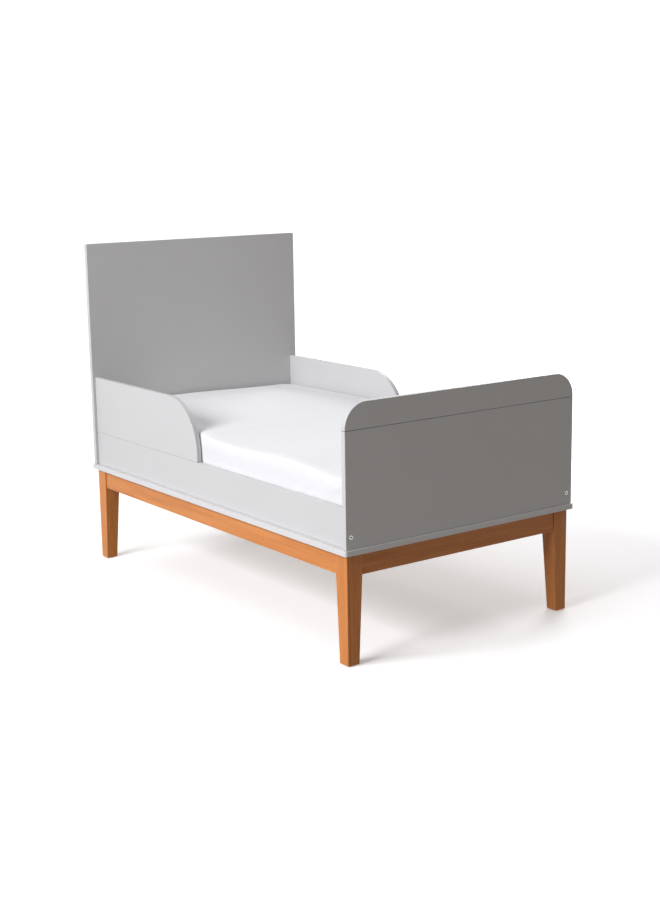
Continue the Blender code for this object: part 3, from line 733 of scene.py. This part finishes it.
class TODDLERBED_OT_boards(bpy.types.Operator):
    """Spray the headboard, footboard, rails, guards and plinth"""

    bl_idname = "toddlerbed.boards"
    bl_label = "Spray the boards"
    bl_options = {"REGISTER", "UNDO"}

    def execute(self, context):
        settings = context.scene.bed_paint
        board = sprayed_lacquer("satin lacquer on boards", settings.board, settings)
        # Painted light: the plinth's lacquer is a lighter copy of the boards', for the light from the floor.
        plinth = sprayed_lacquer("satin lacquer on plinth", settings.plinth, settings)
        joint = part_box("footboard_top")[0].z
        # The footboard's lacquer carries painted shade along the joint between its two boards.
        jointed = sprayed_lacquer("satin lacquer on jointed footboard", settings.board, settings, joint)
        finish_nodes(PLAIN_BOARDS, board)
        finish_nodes(FOOTBOARD, jointed)
        finish_nodes(PLINTH_BOARDS, plinth)
        return {"FINISHED"}


class TODDLERBED_OT_base(bpy.types.Operator):
    """Stain and lacquer the legs and aprons, with the grain along each"""

    bl_idname = "toddlerbed.base"
    bl_label = "Stain the base"
    bl_options = {"REGISTER", "UNDO"}

    def execute(self, context):
        settings = context.scene.bed_wood
        tones = (settings.stain_deep[:], settings.stain[:], settings.stain_pale[:])
        runs = ((LEGS, "Z", "legs"), (SIDE_APRONS, "X", "side aprons"), (END_APRONS, "Y", "end aprons"))
        for names, axis, label in runs:
            finish = timber(f"stained beech {label}", axis, tones, settings.ring, settings.roughness, True)
            finish_nodes(names, finish)
        return {"FINISHED"}


class TODDLERBED_OT_slats(bpy.types.Operator):
    """Plane the slats, ledgers, corner blocks and dowels"""

    bl_idname = "toddlerbed.slats"
    bl_label = "Plane the slats"
    bl_options = {"REGISTER", "UNDO"}

    planed = 0.62
    turned = 0.6
    beech = ("#B98F66", "#CDA77E", "#DBBB95")

    def execute(self, context):
        settings = context.scene.bed_wood
        pine = (settings.pine_deep[:], settings.pine[:], settings.pine_pale[:])
        runs = ((SLATS, "Y", "slats"), (LEDGERS, "X", "ledgers"), (CORNER_BLOCKS, "Z", "corner blocks"))
        for names, axis, label in runs:
            finish_nodes(names, timber(f"planed pine {label}", axis, pine, settings.ring, self.planed, False))
        tones = [linear(tone) for tone in self.beech]
        dowels = timber("turned beech dowels", "Z", tones, settings.ring, self.turned, False)
        finish_nodes(GUARD_DOWELS + FOOT_DOWELS, dowels)
        return {"FINISHED"}


class TODDLERBED_OT_hardware(bpy.types.Operator):
    """Plate the bolts and barrel nuts, and mould the glides"""

    bl_idname = "toddlerbed.hardware"
    bl_label = "Finish the hardware"
    bl_options = {"REGISTER", "UNDO"}

    def execute(self, context):
        settings = context.scene.bed_metal
        finish_nodes(BOLTS, plated_nickel(settings))
        finish_nodes(GLIDES, moulded_nylon(settings))
        return {"FINISHED"}


class TODDLERBED_OT_mattress(bpy.types.Operator):
    """Make the foam mattress in its ticking, swollen a little and soft along its edges"""

    bl_idname = "toddlerbed.mattress"
    bl_label = "Make the mattress"
    bl_options = {"REGISTER", "UNDO"}

    # Room left for the foam to swell into, at its sides, underneath and on top.
    side_gap = 1.5 * MM
    under_gap = 1 * MM
    top_gap = 1.5 * MM
    corner = 34 * MM
    edge = 6 * MM
    frames = 20
    edge_hold = 0.8  # how firmly the piping holds the edges, 1 being fast
    piping_radius = 2.2 * MM
    piping_sunk = 1.4 * MM
    rim = 1.6 * MM
    rim_width = 45 * MM
    near_side = 330 * MM
    head_end = 250 * MM
    # How far the top sinks or rises, as pairs of metres and millimetres: the near edge and the foot end go by
    # X, and the head end by Y.
    near_edge = [
        (-0.25, 0), (-0.10, 0), (-0.05, -3), (0.0, -11), (0.08, -15), (0.17, -15),
        (0.25, -11), (0.33, -7.5), (0.40, -7.5), (0.48, -9.5), (0.55, -9), (0.66, -8),
    ]
    foot_drop = [(0.38, 0), (0.66, -13)]
    head_lean = [(-0.1, 6), (0.36, -5)]
    bulge_out = 3.5 * MM
    bulge_middle = -40 * MM
    bulge_length = 130 * MM
    bulge_height = 45 * MM

    def soften(self, place):
        """How far a point of the top sinks or rises. It dips where a child climbs in by the guard and towards
        the foot, stands higher at the near side of the head end than at the far side, and its seamed rim stands
        a little over the middle."""
        top = max(0.0, min(1.0, (place.z - CORE_LOW.z) / (CORE_HIGH.z - CORE_LOW.z)))
        inward = (place.y - CORE_LOW.y) / self.near_side
        sunk = between(self.near_edge, place.x) * MM * math.exp(-inward * inward)
        foot = between(self.foot_drop, place.x) * MM
        headward = (place.x - CORE_LOW.x) / self.head_end
        head = between(self.head_lean, place.y) * MM * math.exp(-headward * headward)
        from_side = min(CORE_HIGH.x - abs(place.x), CORE_HIGH.y - abs(place.y)) / self.rim_width
        return top * top * (sunk + foot + head + self.rim * math.exp(-from_side * from_side))

    def bulge(self, place):
        """How far a point of the near side stands out, where the guard ends and no longer holds the foam in."""
        if place.y >= CORE_LOW.y / 2:
            return 0.0
        along = (place.x - self.bulge_middle) / self.bulge_length
        up = (place.z - CORE_HIGH.z) / self.bulge_height
        return self.bulge_out * math.exp(-along * along - up * up)

    def execute(self, context):
        settings = context.scene.bed_bedding
        low = CORE_LOW + Vector((self.side_gap, self.side_gap, self.under_gap))
        high = CORE_HIGH - Vector((self.side_gap, self.side_gap, self.top_gap))
        points, faces, rings = pad_mesh(low, high, self.corner, self.edge, settings.cell)
        pad = new_piece("foam_mattress", points, faces, woven_ticking(settings))
        edge_points = set(rings[0] + rings[1])
        underside = low.z + 0.5 * MM
        held = [
            1.0 if place.z < underside else self.edge_hold if number in edge_points else 0.0
            for number, place in enumerate(points)
        ]

        def swell(cloth):
            cloth.settings.use_pressure = True
            cloth.settings.uniform_pressure_force = 4.0
            cloth.settings.effector_weights.gravity = 0.0
            cloth.settings.tension_stiffness = 25.0
            cloth.settings.compression_stiffness = 25.0

        settle(pad, self.frames, settings.crown, held, swell)
        soft = points_of(pad)
        for place in soft:
            place.z += self.soften(place)
            place.y -= self.bulge(place)
        move_points(pad, soft)
        normals = normals_of(pad)
        piping = []
        for name, ring in zip(("mattress_piping_lower", "mattress_piping_upper"), rings):
            path = [soft[point] - normals[point] * self.piping_sunk for point in ring]
            made, sides = tube(path, True, self.piping_radius)
            piping.append(new_piece(name, made, sides, plain_cotton("bias tape piping", settings.stripe)))
        subdivide(pad)
        for pipe in piping:
            pipe.parent = pad
        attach(pad, "bedding")
        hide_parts("mattress")
        return {"FINISHED"}


class TODDLERBED_OT_sheet(bpy.types.Operator):
    """Stretch the fitted sheet over the mattress, with its corner seams and its elasticated hem"""

    bl_idname = "toddlerbed.sheet"
    bl_label = "Fit the sheet"
    bl_options = {"REGISTER", "UNDO"}

    offset = 1.6 * MM
    cloth_thickness = 0.7 * MM
    frames = 24
    furthest = 9 * MM
    touching = 1 * MM
    # The puckers along the hem, and the height of the band that they fill.
    pucker_length = 26 * MM
    pucker_band = 34 * MM
    pucker_depth = 1.3 * MM
    # Room kept to the end boards, the side rails and the slats.
    end_gap = 1.5 * MM
    side_gap = 2 * MM
    slat_gap = 0.2 * MM
    seam_radius = 0.9 * MM
    seam_steps = 18
    seam_foot = 6 * MM
    seam_head = 9 * MM
    stitch_length = 3.2 * MM
    stitch_gap = 1.6 * MM
    stitch_radius = 0.35 * MM
    stitch_belly = 0.25 * MM
    casing_width = 22 * MM

    def execute(self, context):
        settings = context.scene.bed_bedding
        pad = bpy.data.objects.get("foam_mattress")
        if pad is None:
            raise RuntimeError("make the mattress before its sheet")
        sheet = pad.copy()
        sheet.data = pad.data.copy()
        sheet.name = "cotton_sheet"
        sheet.parent = None
        for key in list(sheet.keys()):
            del sheet[key]
        sheet.data.materials.clear()
        sheet.data.materials.append(percale(settings))
        context.scene.collection.objects.link(sheet)
        normals = normals_of(sheet)
        places = points_of(sheet)
        move_points(sheet, [place + normal * self.offset for place, normal in zip(places, normals)])
        self.open_underside(sheet, settings.hem)
        self.drape(sheet, pad)
        self.lift_off(sheet, pad)
        self.gather_hem(sheet)
        subdivide(sheet)
        self.keep_clear(sheet)
        self.lift_off(sheet, pad)
        thicken = sheet.modifiers.new("cloth thickness", "SOLIDIFY")
        thicken.thickness = self.cloth_thickness
        thicken.offset = 1.0
        tree = BVHTree.FromPolygons(points_of(sheet), [list(face.vertices) for face in sheet.data.polygons])
        apply_modifiers(sheet)
        thread = plain_cotton("cotton thread", settings.cotton)
        seams = self.corner_seams(tree, thread)
        stitching = self.hem_stitching(tree, settings.hem, thread)
        for piece in (seams, stitching):
            piece.parent = sheet
        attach(sheet, "bedding")
        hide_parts("fitted_sheet")
        return {"FINISHED"}

    def open_underside(self, sheet, hem):
        """Takes out the middle of the underside, so that only the hem is left there."""
        mesh = bmesh.new()
        mesh.from_mesh(sheet.data)
        facing_down = -0.9
        inner = [
            face for face in mesh.faces
            if face.normal.z < facing_down
            and abs(face.calc_center_median().x) < SHEET_HIGH.x - hem
            and abs(face.calc_center_median().y) < SHEET_HIGH.y - hem
        ]
        bmesh.ops.delete(mesh, geom=inner, context="FACES")
        mesh.to_mesh(sheet.data)
        mesh.free()

    def drape(self, sheet, pad):
        """Lets the sheet settle on the mattress with a very little slack."""
        collider = pad.modifiers.new("collision", "COLLISION")
        pad.collision.thickness_outer = self.touching
        facing_down = -0.7
        held = [1.0 if normal.z < facing_down else 0.0 for normal in normals_of(sheet)]

        def slacken(cloth):
            cloth.settings.mass = 0.15
            cloth.settings.tension_stiffness = 20.0
            cloth.settings.compression_stiffness = 20.0
            cloth.settings.bending_stiffness = 0.3
            cloth.settings.shrink_min = -0.004
            cloth.collision_settings.use_collision = True
            cloth.collision_settings.distance_min = self.touching

        settle(sheet, self.frames, self.furthest, held, slacken)
        pad.modifiers.remove(collider)

    def gather_hem(self, sheet):
        """Puckers the lowest part of the sides, where the elastic draws the cloth in, a little unevenly."""
        facing_down = -0.6
        normals = normals_of(sheet)
        places = points_of(sheet)
        for place, normal in zip(places, normals):
            share = 1 - (place.z - SHEET_LOW.z) / self.pucker_band
            if share <= 0 or normal.z < facing_down:
                continue
            along = place.x if abs(normal.y) > abs(normal.x) else place.y
            uneven = 1.7 * math.sin(along * 23)
            pucker = math.sin(2 * math.pi * along / self.pucker_length + uneven)
            place += Vector((normal.x, normal.y, 0)) * self.pucker_depth * share * share * pucker
        move_points(sheet, places)

    def lift_off(self, sheet, pad):
        """Brings out to the offset any point of the cloth that has sunk closer than that to the mattress."""
        tree = BVHTree.FromPolygons(points_of(pad), [list(face.vertices) for face in pad.data.polygons])
        places = points_of(sheet)
        for place in places:
            nearest, normal, _, _ = tree.find_nearest(place)
            short = self.offset - (place - nearest).dot(normal)
            if short > 0:
                place += normal * short
        move_points(sheet, places)

    def keep_clear(self, sheet):
        """Keeps the cloth off the boards round it and the slats under it."""
        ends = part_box("footboard_panel")[0].x - self.end_gap
        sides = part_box("side_rail_right")[0].y - self.side_gap
        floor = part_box("slat_01")[1].z + self.cloth_thickness + self.slat_gap
        places = points_of(sheet)
        for place in places:
            place.x = max(-ends, min(ends, place.x))
            place.y = max(-sides, min(sides, place.y))
            place.z = max(floor, place.z)
        move_points(sheet, places)

    def corner_seams(self, tree, thread):
        """One overlocked seam down each corner of the sheet."""
        inset = 60 * MM
        overhead = 1.0
        points = []
        faces = []
        for x_side in (-1, 1):
            for y_side in (-1, 1):
                out = Vector((x_side, y_side, 0)).normalized()
                inside = Vector((x_side * (SHEET_HIGH.x - inset), y_side * (SHEET_HIGH.y - inset), overhead))
                top = tree.ray_cast(inside, Vector((0, 0, -1)))[0].z - self.seam_head
                low = SHEET_LOW.z + self.seam_foot
                path = []
                for step in range(self.seam_steps + 1):
                    inside.z = low + (top - low) * step / self.seam_steps
                    hit = tree.ray_cast(inside, out)
                    if hit[0] is None:
                        raise RuntimeError("a corner seam found no cloth to lie on")
                    path.append(hit[0] + out * self.cloth_thickness)
                made, sides = tube(path, False, self.seam_radius, sides=6)
                faces += [[corner + len(points) for corner in side] for side in sides]
                points += made
        return new_piece("sheet_corner_seams", points, faces, thread)

    def hem_stitching(self, tree, hem, thread):
        """A row of stitches that closes the casing of the elastic, under the mattress."""
        corner_gap = 20 * MM
        below = 20 * MM
        reach = 60 * MM
        inset = hem - self.casing_width
        half = Vector((SHEET_HIGH.x - inset, SHEET_HIGH.y - inset))
        pitch = self.stitch_length + self.stitch_gap
        belly = Vector((0, 0, self.stitch_belly))
        points = []
        faces = []
        for axis in (0, 1):
            count = int((2 * half[axis] - 2 * corner_gap) / pitch)
            for side in (-1, 1):
                for number in range(count):
                    start = Vector((0, 0, SHEET_LOW.z - below))
                    start[axis] = (number - (count - 1) / 2) * pitch
                    start[1 - axis] = side * half[1 - axis]
                    hit = tree.ray_cast(start, Vector((0, 0, 1)), reach)
                    if hit[0] is None:
                        continue
                    along = Vector((0, 0, 0))
                    along[axis] = self.stitch_length / 2
                    middle = hit[0] - Vector((0, 0, self.cloth_thickness))
                    path = [
                        middle - along, middle - along * 0.5 - belly,
                        middle + along * 0.5 - belly, middle + along,
                    ]
                    made, sides = tube(path, False, self.stitch_radius, sides=5)
                    faces += [[corner + len(points) for corner in face] for face in sides]
                    points += made
        return new_piece("sheet_hem_stitching", points, faces, thread)


class TODDLERBED_OT_stage(bpy.types.Operator):
    """Set up the seamless floor, the softboxes and the camera"""

    bl_idname = "toddlerbed.stage"
    bl_label = "Set up the studio"
    bl_options = {"REGISTER", "UNDO"}

    camera_place = (3.4821, -2.4748, 1.2865)
    camera_azimuth = math.radians(54.015)
    camera_elevation = math.radians(11.661)
    camera_roll = math.radians(-0.895)
    sensor_width = 36
    # Each softbox: where it hangs, what it points at, its width and its height, in metres.
    softboxes = {
        "key": ((0.35, -4.0, 2.5), (0, 0, 0.45), 2.6, 1.5),
        "top": ((0, -0.6, 3.5), (0, 0, 0.3), 3.0, 3.0),
        "back": ((-1.5, 3.0, 2.2), (0, 0, 0.3), 2.0, 2.0),
    }
    softbox_colour = "#FAFBFF"
    sky_colour = "#FFF6EF"
    # The paper sweep: the rings of its flat floor, the bend, the top of the wall, and the steps in each curve.
    flat_rings = (1.5, 3.0, 5.0, 7.0)
    bend = 2.0
    bend_steps = 12
    wall_top = 6.0
    sides = 96

    def execute(self, context):
        settings = context.scene.bed_studio
        self.sweep(settings)
        for name, box in self.softboxes.items():
            self.softbox(f"{name} softbox", *box, getattr(settings, name))
        world = bpy.data.worlds.new("studio air")
        world.use_nodes = True
        sky = world.node_tree.nodes["Background"]
        sky.inputs["Color"].default_value = linear(self.sky_colour)
        sky.inputs["Strength"].default_value = settings.sky
        context.scene.world = world
        context.scene.view_settings.view_transform = "Standard"
        lens = bpy.data.cameras.new("studio camera")
        lens.lens = settings.lens
        lens.sensor_width = self.sensor_width
        camera = bpy.data.objects.new("studio_camera", lens)
        turn = Matrix.Rotation(self.camera_azimuth, 4, "Z")
        tilt = Matrix.Rotation(math.pi / 2 - self.camera_elevation, 4, "X")
        roll = Matrix.Rotation(self.camera_roll, 4, "Z")
        camera.matrix_world = Matrix.Translation(self.camera_place) @ turn @ tilt @ roll
        context.scene.collection.objects.link(camera)
        context.scene.camera = camera
        return {"FINISHED"}

    def sweep(self, settings):
        """A round floor that curves up into a wall on every side, far enough off for a camera to walk round the
        bed."""
        profile = [(radius, 0.0) for radius in self.flat_rings]
        for step in range(1, self.bend_steps + 1):
            turn = math.pi / 2 * step / self.bend_steps
            radius = self.flat_rings[-1] + self.bend * math.sin(turn)
            profile.append((radius, self.bend - self.bend * math.cos(turn)))
        profile.append((self.flat_rings[-1] + self.bend, self.wall_top))
        points = [Vector((0, 0, 0))]
        faces = []
        for radius, height in profile:
            for side in range(self.sides):
                turn = 2 * math.pi * side / self.sides
                points.append(Vector((radius * math.cos(turn), radius * math.sin(turn), height)))
        for side in range(self.sides):
            after = (side + 1) % self.sides
            faces.append((0, 1 + side, 1 + after))
            for level in range(len(profile) - 1):
                here, there = 1 + level * self.sides, 1 + (level + 1) * self.sides
                faces.append((here + side, there + side, there + after, here + after))
        floor = new_piece("studio_floor", points, faces, seamless_paper(settings))
        floor.visible_diffuse = False

    def softbox(self, name, place, target, width, height, power):
        """A rectangular lamp that points at a target and doesn't show itself."""
        light = bpy.data.lights.new(name, "AREA")
        light.shape = "RECTANGLE"
        light.size = width
        light.size_y = height
        light.energy = power
        light.color = linear(self.softbox_colour)[:3]
        lamp = bpy.data.objects.new(name, light)
        lamp.location = place
        lamp.rotation_euler = (Vector(target) - Vector(place)).to_track_quat("-Z", "Y").to_euler()
        lamp.visible_camera = False
        bpy.context.scene.collection.objects.link(lamp)


class TODDLERBED_PT_sidebar(bpy.types.Panel):
    """Lists the bed's steps and settings"""

    bl_label = "Toddler Bed"
    bl_idname = "TODDLERBED_PT_sidebar"
    bl_space_type = "VIEW_3D"
    bl_region_type = "UI"
    bl_category = "Toddler Bed"

    def draw(self, context):
        for operator in OPERATORS:
            self.layout.operator(operator.bl_idname)
        for slot, group in SETTINGS.items():
            box = self.layout.box()
            for name in group.__annotations__:
                box.prop(getattr(context.scene, slot), name)


OPERATORS = [
    TODDLERBED_OT_boards,
    TODDLERBED_OT_base,
    TODDLERBED_OT_slats,
    TODDLERBED_OT_hardware,
    TODDLERBED_OT_mattress,
    TODDLERBED_OT_sheet,
    TODDLERBED_OT_stage,
]
SETTINGS = {
    "bed_paint": PaintSettings,
    "bed_wood": WoodSettings,
    "bed_metal": MetalSettings,
    "bed_bedding": BeddingSettings,
    "bed_studio": StudioSettings,
}


def register():
    for group in SETTINGS.values():
        bpy.utils.register_class(group)
    for slot, group in SETTINGS.items():
        setattr(bpy.types.Scene, slot, bpy.props.PointerProperty(type=group))
    for operator in OPERATORS:
        bpy.utils.register_class(operator)
    bpy.utils.register_class(TODDLERBED_PT_sidebar)


def unregister():
    bpy.utils.unregister_class(TODDLERBED_PT_sidebar)
    for operator in reversed(OPERATORS):
        bpy.utils.unregister_class(operator)
    for slot in SETTINGS:
        delattr(bpy.types.Scene, slot)
    for group in reversed(SETTINGS.values()):
        bpy.utils.unregister_class(group)


def main():
    """Builds everything in order."""
    for start in [o for o in bpy.data.objects if o.name in ("Cube", "Light", "Camera")]:
        bpy.data.objects.remove(start)
    register()
    bpy.ops.toddlerbed.stage()
    bpy.ops.toddlerbed.boards()
    bpy.ops.toddlerbed.base()
    bpy.ops.toddlerbed.slats()
    bpy.ops.toddlerbed.hardware()
    bpy.ops.toddlerbed.mattress()
    bpy.ops.toddlerbed.sheet()


if __name__ == "__main__":
    main()
